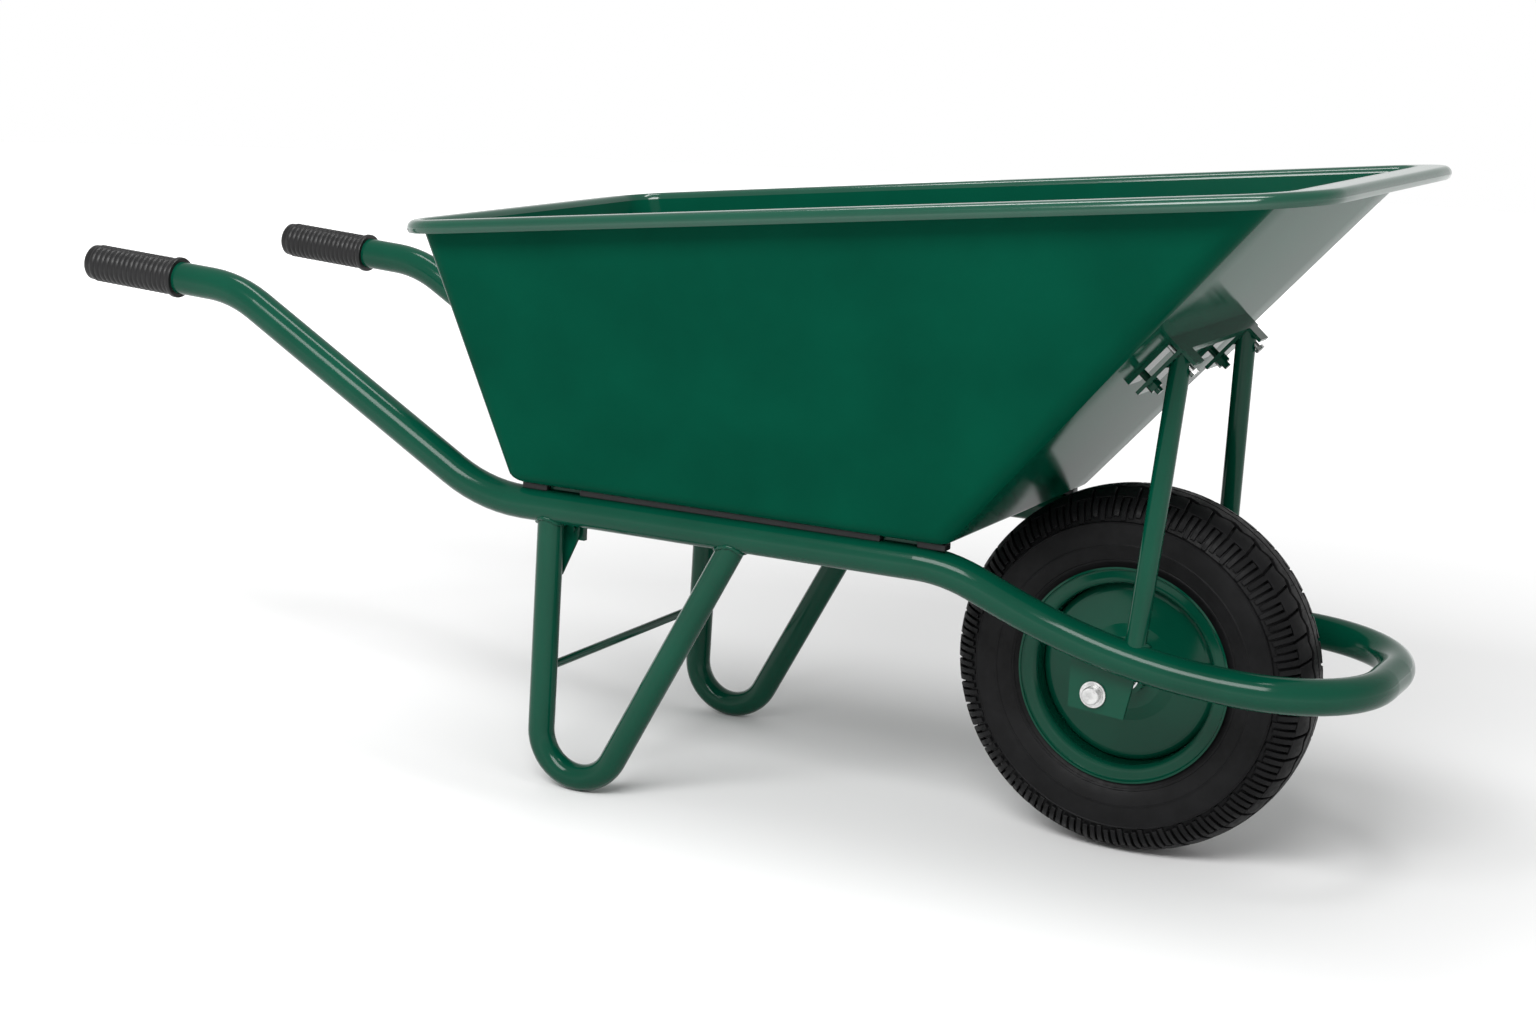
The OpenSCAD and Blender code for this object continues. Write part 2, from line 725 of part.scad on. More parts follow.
module stay(side) {
    far = 3 * stay_off;
    at_row() mirror([0, side < 0 ? 1 : 0, 0]) color(paint) difference() {
        along(stay_foot, stay_dir)
            linear_extrude(height = norm(stay_top - stay_foot) + far) ring(stay_d, stay_wall);
        waist_space(1);
        // Cut square to the wall at the bracket, and off under its flange
        on_front_wall() {
            translate([-floor_len, 0, -stay_face]) cube([2 * floor_len, floor_w, floor_len]);
            translate([bracket_top - bracket_t - seat_gap, 0, -floor_len])
                cube([floor_len, floor_w, 2 * floor_len]);
            translate([stay_bolt_s, stay_bolt_y, -floor_len])
                cylinder(h = floor_len, d = stay_bolt_d + 2 * bolt_gap);
        }
    }
}

module left_stay() {
    stay(1);
}

module right_stay() {
    stay(-1);
}

// Channel against the wall: two plates with wings down them, and a web that caps the stays
module stay_bracket() {
    half = stay_top_gap / 2 + wing_w / 2;
    at_row() color(paint) on_front_wall() {
        difference() {
            union() {
                for (off = [0, bracket_out - bracket_t]) {
                    translate([bracket_top - bracket_lip, -half, -off - bracket_t - seat_gap])
                        cube([bracket_lip, 2 * half, bracket_t]);
                    for (s = sides)
                        translate([
                            bracket_top - wing_len,
                            s * stay_top_gap / 2 - wing_w / 2,
                            -off - bracket_t - seat_gap
                        ])
                            cube([wing_len, wing_w, bracket_t]);
                }
                translate([bracket_top - bracket_t, -half, -bracket_out - seat_gap])
                    cube([bracket_t, 2 * half, bracket_out]);
                for (s = sides)
                    translate([bracket_top - bracket_t, s * stay_bolt_y - stay_d * 0.6, -cap_out])
                        cube([bracket_t, stay_d * 1.2, cap_out - seat_gap]);
            }
            for (s = sides) {
                translate([wing_bolt_s, s * wing_bolt_y, -2 * bracket_out])
                    cylinder(h = 3 * bracket_out, d = wing_bolt_d + 2 * bolt_gap);
                translate([stay_bolt_s, s * stay_bolt_y, -2 * bracket_out])
                    cylinder(h = 3 * bracket_out, d = stay_bolt_d + 2 * bolt_gap);
            }
        }
    }
}

module wing_bolts() {
    head = 4;
    reach = tray_t + bracket_out + 12;
    at_row() color(zinc) on_front_wall()
        for (s = sides)
            translate([wing_bolt_s, s * wing_bolt_y, tray_t + seat_gap]) {
                translate([0, 0, -reach]) cylinder(h = reach, d = wing_bolt_d);
                rotate_extrude()
                    polygon(concat([[0, 0]],
                        [for (a = [0:15:90]) [wing_bolt_d * 1.1 * cos(a), head * sin(a)]]));
            }
}

module wing_nuts() {
    high = wing_bolt_d * 0.8;
    at_row() color(zinc) on_front_wall()
        for (s = sides)
            translate([wing_bolt_s, s * wing_bolt_y, -bracket_out - 2 * seat_gap - high])
                nut(wing_bolt_d, high);
}

// Long bolts from the front of each stay, through the bracket into the tray
wall_up = [sin(front_lean), 0, cos(front_lean)];
wall_out = [cos(front_lean), 0, -sin(front_lean)];
stay_slope = (stay_dir * wall_out) / (stay_dir * wall_up);
stay_head_d = stay_bolt_d * 1.9;
// The head's lower flat rests on the slanting stay
stay_bolt_out = stay_off + (stay_bolt_s - stay_aim) * stay_slope
    + stay_d / 2 / (stay_dir * wall_up) + stay_head_d / 2 * cos(30) * abs(stay_slope) + seat_gap;

module stay_bolts() {
    head = 4;
    inside = tray_t + stay_bolt_d;
    at_row() color(zinc) on_front_wall()
        for (s = sides)
            translate([stay_bolt_s, s * stay_bolt_y, -stay_bolt_out]) {
                translate([0, 0, -head / 2]) cylinder(h = stay_bolt_out + inside + head / 2, d = stay_bolt_d);
                translate([0, 0, -head])
                    rotate([0, 0, 30])
                        cylinder(h = head, d = stay_head_d, $fn = nut_sides);
            }
}

module stay_nuts() {
    high = stay_bolt_d * 0.8;
    at_row() color(zinc) on_front_wall()
        for (s = sides)
            translate([stay_bolt_s, s * stay_bolt_y, tray_t + seat_gap]) nut(stay_bolt_d, high);
}

// --- axle and what stays still with it -------------------------------------------------------
plate_back = 27;
plate_front = 46;
plate_foot_front = 34;

module axle_plate(side) {
    at_row() mirror([0, side < 0 ? 1 : 0, 0]) color(paint) difference() {
        translate([0, plate_y + plate_t / 2, axle_h])
            rotate([90, 0, 0])
                linear_extrude(height = plate_t)
                    polygon([
                        [-plate_back, -plate_drop + 5],
                        [plate_foot_front, -plate_drop],
                        [plate_front, waist_rise],
                        [-plate_back, waist_rise]
                    ]);
        waist_space(1);
        cross_cyl(0, axle_h, 0, 2 * plate_y, axle_d + 2 * seat_gap);
    }
}

module left_axle_plate() {
    axle_plate(1);
}

module right_axle_plate() {
    axle_plate(-1);
}

clip_y = plate_y + plate_t / 2 + washer_t + 2 * seat_gap;
groove_depth = 1;

module axle() {
    chamfer = 1;
    dimple = 2;
    at_row() color(zinc) translate([0, axle_half, axle_h]) rotate([90, 0, 0]) difference() {
        union() {
            translate([0, 0, chamfer]) cylinder(h = 2 * (axle_half - chamfer), d = axle_d);
            cylinder(h = chamfer, d1 = axle_d - 2 * chamfer, d2 = axle_d);
            translate([0, 0, 2 * axle_half - chamfer])
                cylinder(h = chamfer, d1 = axle_d, d2 = axle_d - 2 * chamfer);
        }
        for (z = [0, 2 * axle_half])
            translate([0, 0, z - dimple / 2]) cylinder(h = dimple, d = dimple);
        for (y = [clip_y, -clip_y])
            translate([0, 0, axle_half - y - clip_w / 2])
                translate([0, 0, y > 0 ? -clip_w / 2 : clip_w / 2])
                    linear_extrude(height = clip_w) ring(axle_d + 2, 1 + groove_depth);
    }
}

module axle_washers() {
    at_row() color(zinc)
        for (s = sides)
            mirror([0, s < 0 ? 1 : 0, 0])
                translate([0, plate_y + plate_t / 2 + washer_t + seat_gap, axle_h])
                    rotate([90, 0, 0])
                        linear_extrude(height = washer_t)
                            ring(washer_d, (washer_d - axle_d) / 2 - seat_gap);
}

// Open retaining rings in the axle's grooves
module axle_clips() {
    clip_d = axle_d + 4;
    gap = 5;
    at_row() color(zinc)
        for (s = sides)
            mirror([0, s < 0 ? 1 : 0, 0])
                translate([0, clip_y + clip_w - seat_gap / 2, axle_h])
                    rotate([90, 0, 0])
                        linear_extrude(height = clip_w - seat_gap)
                            difference() {
                                ring(clip_d, (clip_d - axle_d) / 2 + groove_depth - seat_gap);
                                translate([-gap / 2, -clip_d]) square([gap, clip_d]);
                            }
}

module axle_sleeve(y0, y1) {
    at_row() color(zinc)
        translate([0, y1, axle_h])
            rotate([90, 0, 0])
                linear_extrude(height = y1 - y0)
                    ring(axle_d + 2 * (sleeve_wall + seat_gap), sleeve_wall);
}
bearing_out = bearing_mid + bearing_w / 2 + seat_gap;
bearing_in = bearing_mid - bearing_w / 2 - seat_gap;
plate_inner = plate_y - plate_t / 2 - seat_gap;

module left_axle_sleeve() {
    axle_sleeve(bearing_out, plate_inner);
}

module right_axle_sleeve() {
    axle_sleeve(-plate_inner, -bearing_out);
}

module middle_sleeve() {
    axle_sleeve(-bearing_in, bearing_in);
}

// A pair of bearing rings from the 2D section in the first quadrant, radius by width
module bearing_pair() {
    for (s = sides)
        translate([0, s * bearing_mid, axle_h])
            rotate([90, 0, 0])
                rotate_extrude() difference() {
                    children();
                    translate([ball_pitch_r, 0]) circle(r = ball_r + ball_gap);
                }
}

module bearing_inner_rings() {
    at_row() color(zinc) bearing_pair()
        translate([axle_d / 2 + bearing_gap, -bearing_w / 2]) square([ring_wall, bearing_w]);
}

// --- wheel ------------------------------------------------------------------------------------
module bearing_outer_rings() {
    at_row() color(zinc) bearing_pair()
        translate([bearing_od / 2 - ring_wall, -bearing_w / 2]) square([ring_wall, bearing_w]);
}

module bearing_balls() {
    at_row() color(zinc)
        for (s = sides, i = [1:1:ball_count])
            translate([0, s * bearing_mid, axle_h])
                rotate([0, i * 360 / ball_count, 0])
                    translate([ball_pitch_r, 0, 0]) sphere(r = ball_r);
}

module wheel_turned() {
    at_row() translate([0, 0, axle_h]) rotate([90, 0, 0]) children();
}

module hub() {
    shoulder_r = bearing_od / 2 - ring_wall;
    color(paint) wheel_turned() difference() {
        translate([0, 0, -hub_len / 2]) cylinder(h = hub_len, d = hub_d);
        translate([0, 0, -hub_len]) cylinder(h = 2 * hub_len, r = shoulder_r);
        for (m = [0, 1])
            mirror([0, 0, m])
                translate([0, 0, bearing_mid - bearing_w / 2])
                    cylinder(h = hub_len, d = bearing_od + 2 * bearing_gap);
    }
}

// The same points with their second half mirrored after them, and before them
function mirror_after(pts) =
    concat(pts, [for (i = [len(pts) - 1:-1:0]) [pts[i][0], -pts[i][1]]]);
function mirror_before(pts) =
    concat([for (i = [len(pts) - 1:-1:1]) [pts[i][0], -pts[i][1]]], pts);

rim_bend = 6;
// Section of one half of the rim, as radius by distance from the middle plane
function rim_half() =
    let (corner = rim_bend, mid_r = seat_r - rim_t / 2, wall_y = rim_w / 2 + rim_t / 2, lip = 4)
    concat(
        [[mid_r, 0]],
        arc2([mid_r + corner, wall_y - corner], corner, 180, 90, 6),
        arc2([lip_r - rim_t / 2 - lip, wall_y + lip], lip, -90, 0, 6));

module rim() {
    color(paint) wheel_turned() difference() {
        rotate_extrude($fn = 128) polygon(strip(mirror_before(rim_half()), rim_t));
        rotate([0, 0, valve_angle])
            translate([0, 0, valve_y]) rotate([0, 90, 0]) cylinder(h = lip_r, d = valve_d + 2 * seat_gap);
    }
}

module wheel_disc(side) {
    skirt_r = seat_r - rim_t - seat_gap - disc_t / 2;
    skirt_len = 8;
    hub_r = hub_d / 2 + seat_gap;
    boss_high = 4;
    boss_w = 16;
    boss_slope = 14;
    section = concat(
        [
            [hub_r, disc_off + boss_high],
            [hub_r + boss_w, disc_off + boss_high],
            [hub_r + boss_w + boss_slope, disc_off]
        ],
        arc2([skirt_r - disc_edge_r, disc_off - disc_edge_r], disc_edge_r, 90, 0, 6),
        [[skirt_r, disc_off - disc_edge_r - skirt_len]]);
    color(paint) wheel_turned()
        mirror([0, 0, side > 0 ? 1 : 0])
            rotate_extrude($fn = 128) polygon(strip(section, disc_t));
}

module left_wheel_disc() {
    wheel_disc(1);
}

module right_wheel_disc() {
    wheel_disc(-1);
}

module tyre() {
    out_a = tyre_w / 2;
    out_b = tyre_depth / 2;
    in_a = out_a - tyre_side_t;
    in_b = out_b - tyre_side_t - 3;
    seat = seat_r + seat_gap;
    toe = rim_w / 2 - 14;
    side_y = rim_w / 2 - 2 * seat_gap;
    // Half section, as radius by distance from the middle plane, from the crown to the bead and back
    outer = [for (t = [90:-6:-36]) oval(out_a, out_b, t)];
    inner = [for (t = [-36:6:90]) oval(in_a, in_b, t)];
    half = concat(outer,
        [[lip_r - 3, side_y], [seat + rim_bend, side_y], [seat, side_y - rim_bend], [seat, toe]], inner);
    color(black_rubber) wheel_turned()
        rotate_extrude($fn = 128) polygon(mirror_after(half));
}

// Air tube that fills the tyre
module inner_tube() {
    a = tyre_w / 2 - tyre_side_t - 3 * seat_gap;
    b = tyre_depth / 2 - tyre_side_t - 3 - 3 * seat_gap;
    wall = 2;
    color([0.15, 0.15, 0.15]) wheel_turned()
        rotate_extrude($fn = 96)
            difference() {
                polygon([for (t = [0:12:348]) oval(a, b, t)]);
                polygon([for (t = [0:12:348]) oval(a - wall, b - wall, t)]);
            }
}

valve_y = (disc_off + rim_w / 2) / 2;
valve_tip_len = 6;
valve_step = 3;

// Points local X out along the valve's radius, on the side of the right disc
module on_valve() {
    wheel_turned() rotate([0, 0, valve_angle]) translate([0, 0, valve_y]) rotate([0, 90, 0]) children();
}

module valve_stem() {
    color(black_rubber) on_valve()
        translate([0, 0, seat_r - rim_t - valve_len]) {
            cylinder(h = valve_len + rim_t - seat_gap, d = valve_d);
            translate([0, 0, -valve_tip_len]) cylinder(h = valve_tip_len, d = valve_d - valve_step);
        }
}

module valve_cap() {
    wall = 1;
    high = valve_tip_len + 3;
    base = seat_r - rim_t - valve_len - seat_gap;
    bore = valve_d - valve_step + 2 * seat_gap;
    color(black_rubber) on_valve()
        translate([0, 0, base - high]) difference() {
            cylinder(h = high, d = bore + 2 * wall);
            translate([0, 0, high - valve_tip_len - 0.5]) cylinder(h = high, d = bore);
        }
}

frame_tube();
left_grip();
right_grip();
left_leg();
right_leg();
leg_brace();
left_gusset();
right_gusset();
gusset_bolts();
gusset_nuts();
rear_cross_bar();
front_cross_bar();
tray();
tray_bolts();
tray_washers();
tray_nuts();
left_stay();
right_stay();
stay_bracket();
wing_bolts();
wing_nuts();
stay_bolts();
stay_nuts();
left_axle_plate();
right_axle_plate();
axle();
axle_washers();
axle_clips();
left_axle_sleeve();
right_axle_sleeve();
middle_sleeve();
bearing_inner_rings();
tyre();
inner_tube();
rim();
left_wheel_disc();
right_wheel_disc();
hub();
bearing_outer_rings();
bearing_balls();
valve_stem();
valve_cap();
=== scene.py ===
import json
import math

import bmesh
import bpy
from bpy.props import FloatProperty, FloatVectorProperty, PointerProperty
from mathutils import Matrix, Vector
from mathutils.bvhtree import BVHTree


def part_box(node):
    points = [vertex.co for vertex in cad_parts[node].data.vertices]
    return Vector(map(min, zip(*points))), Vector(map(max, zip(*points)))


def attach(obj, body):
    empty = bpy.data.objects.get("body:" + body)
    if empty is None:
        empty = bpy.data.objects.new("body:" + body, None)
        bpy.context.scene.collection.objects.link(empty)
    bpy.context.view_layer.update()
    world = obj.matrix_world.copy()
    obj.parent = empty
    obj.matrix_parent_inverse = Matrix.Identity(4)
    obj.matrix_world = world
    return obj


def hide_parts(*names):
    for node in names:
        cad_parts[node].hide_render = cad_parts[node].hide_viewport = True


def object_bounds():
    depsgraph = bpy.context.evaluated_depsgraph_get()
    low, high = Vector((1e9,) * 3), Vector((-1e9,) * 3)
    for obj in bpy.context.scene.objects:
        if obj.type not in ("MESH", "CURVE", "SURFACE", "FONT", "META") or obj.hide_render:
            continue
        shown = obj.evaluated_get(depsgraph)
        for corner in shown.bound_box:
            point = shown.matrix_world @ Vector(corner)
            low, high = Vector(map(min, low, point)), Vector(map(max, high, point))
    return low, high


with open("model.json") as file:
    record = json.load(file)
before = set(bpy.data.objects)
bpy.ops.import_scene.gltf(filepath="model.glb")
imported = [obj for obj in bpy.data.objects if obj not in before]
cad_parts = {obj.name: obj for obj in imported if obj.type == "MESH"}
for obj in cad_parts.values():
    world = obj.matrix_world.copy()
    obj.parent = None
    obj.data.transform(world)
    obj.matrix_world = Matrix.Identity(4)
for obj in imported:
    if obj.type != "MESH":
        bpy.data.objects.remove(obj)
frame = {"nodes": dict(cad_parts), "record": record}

bl_info = {
    "name": "Single-wheel barrow",
    "version": (1, 0, 0),
    "blender": (4, 5, 0),
    "location": "3D View > Sidebar > Barrow",
    "description": "Finishes a garden barrow: painted steel, moulded rubber, tyre tread and welds",
    "category": "Object",
}

CAD_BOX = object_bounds()
NODES = frame["nodes"]


# ---------------------------------------------------------------- measures

def span(node):
    """Lowest corner, highest corner and middle of one frame piece."""
    low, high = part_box(node)
    return low, high, (low + high) / 2


AXLE_MID = span("axle")[2]
TYRE_LOW, TYRE_HIGH, _ = span("tyre")
TYRE_HALF = (TYRE_HIGH.y - TYRE_LOW.y) / 2
AXLE_X, AXLE_Z = AXLE_MID.x, AXLE_MID.z
MM = 0.001


def from_axle(x, y, z):
    """Point given in millimetres from the ground under the axle."""
    return Vector((AXLE_X + x * MM, y * MM, z * MM))


# ---------------------------------------------------------------- making pieces

def new_piece(name, bm, finish_name, body, smooth_angle=35.0, replaces=()):
    """Turns the bmesh into a named piece that rides on a body."""
    bmesh.ops.remove_doubles(bm, verts=bm.verts, dist=1e-6)
    bmesh.ops.recalc_face_normals(bm, faces=bm.faces)
    limit = math.radians(smooth_angle)
    for face in bm.faces:
        face.smooth = True
    for edge in bm.edges:
        edge.smooth = len(edge.link_faces) == 2 and edge.calc_face_angle(0.0) < limit
    mesh = bpy.data.meshes.new(name)
    bm.to_mesh(mesh)
    bm.free()
    mesh.materials.append(finish(finish_name))
    piece = bpy.data.objects.new(name, mesh)
    bpy.context.scene.collection.objects.link(piece)
    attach(piece, body)
    if replaces:
        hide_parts(*replaces)
    return piece


def verts_of(geometry):
    return [g for g in geometry if isinstance(g, bmesh.types.BMVert)]


def edges_of(geometry):
    return [g for g in geometry if isinstance(g, bmesh.types.BMEdge)]


def faces_of(geometry):
    return [g for g in geometry if isinstance(g, bmesh.types.BMFace)]


def loft(bm, loops):
    """Grows a skin from loop to loop; every loop has the same number of points and is closed."""
    row = [bm.verts.new(p) for p in loops[0]]
    edges = [bm.edges.new((row[i], row[(i + 1) % len(row)])) for i in range(len(row))]
    for loop in loops[1:]:
        geometry = bmesh.ops.extrude_edge_only(bm, edges=edges)["geom"]
        old = {v: i for i, v in enumerate(row)}
        fresh = verts_of(geometry)
        place = {}
        for v in fresh:
            for edge in v.link_edges:
                other = edge.other_vert(v)
                if other in old:
                    place[old[other]] = v
        row = [place[i] for i in range(len(loop))]
        for v, p in zip(row, loop):
            v.co = p
        edges = edges_of(geometry)
    return row


def spin_profile(bm, points, steps):
    """Turns a closed line of (radius, sideways) points, in millimetres, about the axle."""
    row = [bm.verts.new(from_axle(r, y, 0) + Vector((0, 0, AXLE_Z))) for r, y in points]
    edges = [bm.edges.new((row[i], row[(i + 1) % len(row)])) for i in range(len(row))]
    bmesh.ops.spin(bm, geom=row + edges, cent=AXLE_MID, axis=(0, 1, 0), angle=math.tau,
                   steps=steps, use_merge=True, use_normal_flip=False, use_duplicate=False)


# ---------------------------------------------------------------- settings

class PaintSettings(bpy.types.PropertyGroup):
    colour: FloatVectorProperty(
        name="Paint colour", description="Colour of the enamel on the steel",
        subtype="COLOR", size=3, min=0, max=1, default=(0.0008, 0.043, 0.024))
    gloss_roughness: FloatProperty(
        name="Paint roughness", description="Roughness of the cured enamel", default=0.14, min=0, max=1)
    peel_depth: FloatProperty(
        name="Orange peel", description="Height of the ripple left by spraying",
        default=0.00004, min=0, max=0.001, unit="LENGTH")


class RubberSettings(bpy.types.PropertyGroup):
    tyre_colour: FloatVectorProperty(
        name="Tyre colour", description="Colour of the tyre rubber",
        subtype="COLOR", size=3, min=0, max=1, default=(0.004, 0.004, 0.0043))
    grip_colour: FloatVectorProperty(
        name="Grip colour", description="Colour of the moulded grips",
        subtype="COLOR", size=3, min=0, max=1, default=(0.0045, 0.0045, 0.0048))


class StageSettings(bpy.types.PropertyGroup):
    floor_colour: FloatVectorProperty(
        name="Floor colour", description="Colour of the studio floor and backdrop",
        subtype="COLOR", size=3, min=0, max=1, default=(0.74, 0.74, 0.74))


# ---------------------------------------------------------------- materials

class Finish:
    """Small helper that wires one procedural material."""

    def __init__(self, name):
        self.mat = bpy.data.materials.new(name)
        self.mat.use_nodes = True
        self.tree = self.mat.node_tree
        self.shader = self.tree.nodes["Principled BSDF"]
        self.coords = self.tree.nodes.new("ShaderNodeTexCoord")

    def put(self, kind, **values):
        node = self.tree.nodes.new(kind)
        for key, value in values.items():
            if hasattr(node, key):
                setattr(node, key, value)
            else:
                node.inputs[key.replace("_", " ")].default_value = value
        return node

    def link(self, a, b):
        self.tree.links.new(a, b)

    def noise(self, scale, detail=3.0, rough=0.5, source=None):
        node = self.put("ShaderNodeTexNoise")
        node.inputs["Scale"].default_value = scale
        node.inputs["Detail"].default_value = detail
        node.inputs["Roughness"].default_value = rough
        self.link(source or self.coords.outputs["Object"], node.inputs["Vector"])
        return node.outputs["Fac"]

    def ramp(self, source, stops):
        node = self.put("ShaderNodeValToRGB")
        self.link(source, node.inputs["Fac"])
        ends = node.color_ramp.elements
        while len(ends) < len(stops):
            ends.new(0.5)
        for end, (place, colour) in zip(ends, stops):
            end.position = place
            end.color = colour if len(colour) == 4 else (*colour, 1)
        return node.outputs["Color"]

    def spread(self, source, low, high, start=0.3, end=0.7):
        node = self.put("ShaderNodeMapRange")
        self.link(source, node.inputs["Value"])
        node.inputs["From Min"].default_value = start
        node.inputs["From Max"].default_value = end
        node.inputs["To Min"].default_value = low
        node.inputs["To Max"].default_value = high
        return node.outputs["Result"]

    def bump(self, source, depth, strength=1.0, under=None):
        node = self.put("ShaderNodeBump")
        node.inputs["Strength"].default_value = strength
        node.inputs["Distance"].default_value = depth
        self.link(source, node.inputs["Height"])
        if under:
            self.link(under, node.inputs["Normal"])
        return node.outputs["Normal"]

    def set(self, **values):
        for key, value in values.items():
            self.shader.inputs[key.replace("_", " ")].default_value = value

    def feed(self, source, socket):
        self.link(source, self.shader.inputs[socket])


def shade_of(colour, k):
    return tuple(min(1.0, c * k) for c in colour)


def enamel(settings, name, ior, ripple):
    """Sprayed enamel; a low index of refraction gives the flatter sheen of the tray's walls."""
    f = Finish(name)
    base = tuple(settings.colour)
    tone = f.noise(9.0, 4.0)
    f.feed(f.ramp(tone, [(0.3, shade_of(base, 0.9)), (0.7, shade_of(base, 1.12))]), "Base Color")
    haze = f.noise(60.0, 5.0, 0.6)
    gloss = settings.gloss_roughness
    f.feed(f.spread(haze, gloss * (1 - 0.2 * ripple), gloss * (1 + 0.3 * ripple)), "Roughness")
    f.set(IOR=ior, Specular_IOR_Level=0.5)
    peel = f.bump(f.noise(260.0, 2.0), settings.peel_depth, 0.25 * ripple)
    f.feed(f.bump(f.noise(9.0, 1.0), 0.0003, 0.2 * ripple, peel), "Normal")
    return f.mat


def tyre_rubber(settings):
    f = Finish("tyre_rubber")
    base = tuple(settings.tyre_colour)
    dust = f.noise(35.0, 6.0, 0.62)
    f.feed(f.ramp(dust, [(0.35, base), (0.75, shade_of(base, 1.9))]), "Base Color")
    f.feed(f.spread(f.noise(160.0, 4.0), 0.4, 0.6), "Roughness")
    f.set(Specular_IOR_Level=0.12)
    f.feed(f.bump(f.noise(900.0, 3.0), 0.00012, 0.8), "Normal")
    return f.mat


def grip_rubber(settings):
    f = Finish("grip_rubber")
    base = tuple(settings.grip_colour)
    f.feed(f.ramp(f.noise(50.0, 4.0), [(0.3, base), (0.8, shade_of(base, 1.7))]), "Base Color")
    f.feed(f.spread(f.noise(220.0, 3.0), 0.34, 0.48), "Roughness")
    f.set(Specular_IOR_Level=0.3)
    f.feed(f.bump(f.noise(1200.0, 2.0), 0.00006, 0.7), "Normal")
    return f.mat


def zinc_plate():
    f = Finish("zinc_plate")
    dull, bright = (0.42, 0.42, 0.42), (0.66, 0.66, 0.65)
    f.feed(f.ramp(f.noise(140.0, 5.0, 0.6), [(0.3, dull), (0.7, bright)]), "Base Color")
    f.feed(f.spread(f.noise(300.0, 3.0), 0.24, 0.42), "Roughness")
    f.set(Metallic=1.0)
    f.feed(f.bump(f.noise(700.0, 2.0), 0.00003), "Normal")
    return f.mat


def ground_steel():
    f = Finish("ground_steel")
    f.feed(f.ramp(f.noise(90.0, 3.0), [(0.3, (0.5, 0.5, 0.51)), (0.7, (0.62, 0.62, 0.63))]), "Base Color")
    f.feed(f.spread(f.noise(400.0, 2.0), 0.16, 0.28), "Roughness")
    f.set(Metallic=1.0)
    return f.mat


def floor_finish(settings):
    f = Finish("studio_floor")
    base = tuple(settings.floor_colour)
    f.feed(f.ramp(f.noise(1.5, 2.0), [(0.3, shade_of(base, 0.985)), (0.7, base)]), "Base Color")
    f.set(Roughness=0.7, Specular_IOR_Level=0.1)
    # Away from the barrow the floor glows, so that it runs into the bright surroundings
    apart = f.put("ShaderNodeVectorMath", operation="LENGTH")
    f.link(f.coords.outputs["Object"], apart.inputs[0])
    f.set(Emission_Color=(1, 1, 1, 1))
    f.feed(f.spread(apart.outputs["Value"], 0.0, 0.85, 0.9, 4.5), "Emission Strength")
    return f.mat


MADE = {}


def finish(kind):
    """The material of that kind, made once."""
    scene = bpy.context.scene
    if kind not in MADE:
        makers = {
            "enamel": lambda: enamel(scene.barrow_paint, "green_enamel", 1.28, 0.3),
            "tray": lambda: enamel(scene.barrow_paint, "tray_enamel", 1.055, 0.05),
            "rim_edge": lambda: enamel(scene.barrow_paint, "rolled_edge_enamel", 1.5, 0.1),
            "tyre": lambda: tyre_rubber(scene.barrow_rubber),
            "grip": lambda: grip_rubber(scene.barrow_rubber),
            "zinc": zinc_plate,
            "steel": ground_steel,
            "floor": lambda: floor_finish(scene.barrow_stage),
        }
        MADE[kind] = makers[kind]()
    return MADE[kind]


PAINTED_OVER = ("wing_bolts", "wing_nuts", "gusset_bolts", "gusset_nuts", "tray_washers", "tray_nuts")
SLOT_FINISH = {
    "green_paint": "enamel", "grip_rubber": "grip", "tyre": "tyre",
    "black_rubber": "grip", "bearing_steel": "steel", "zinc_steel": "zinc",
}


# ---------------------------------------------------------------- operators

class BARROW_OT_frame_finish(bpy.types.Operator):
    """Give every frame piece its painted, plated or rubber finish"""
    bl_idname = "barrow.frame_finish"
    bl_label = "Finish frame pieces"

    def execute(self, context):
        for part in frame["record"]["subparts"]:
            node = NODES[part["node"]]
            made = finish("enamel" if part["node"] in PAINTED_OVER else SLOT_FINISH[part["material_slot"]])
            for slot in node.material_slots:
                slot.material = made
        return {"FINISHED"}


# Tyre section, in millimetres: a squarish oval of half height SECTION_B about a circle of radius SECTION_R
SECTION_R, SECTION_B, SQUARENESS = 152.0, 48.0, 0.8
TREAD_DEPTH = 6.0
PITCHES = 46
# Sideways places on the tread, from the middle plane, and the swing of its zig-zag grooves in degrees
GROOVE_HALF, RIB_EDGE, BLOCK_EDGE, BLOCK_END = 1.2, 12.5, 17.0, 36.5
ZIG_SWING = 2.73


def section_point(t, lift=0.0):
    """(radius, sideways) on the tyre's skin; t is 90 at the crown and 0 at the side."""
    s, c = math.sin(math.radians(t)), math.cos(math.radians(t))
    r = SECTION_R + SECTION_B * math.copysign(abs(s) ** SQUARENESS, s)
    y = TYRE_HALF / MM * math.copysign(abs(c) ** SQUARENESS, c)
    return r + lift * s, y + lift * c


def angle_for(y):
    """The section angle at which the skin is y from the middle."""
    return math.degrees(math.acos((y / (TYRE_HALF / MM)) ** (1 / SQUARENESS)))


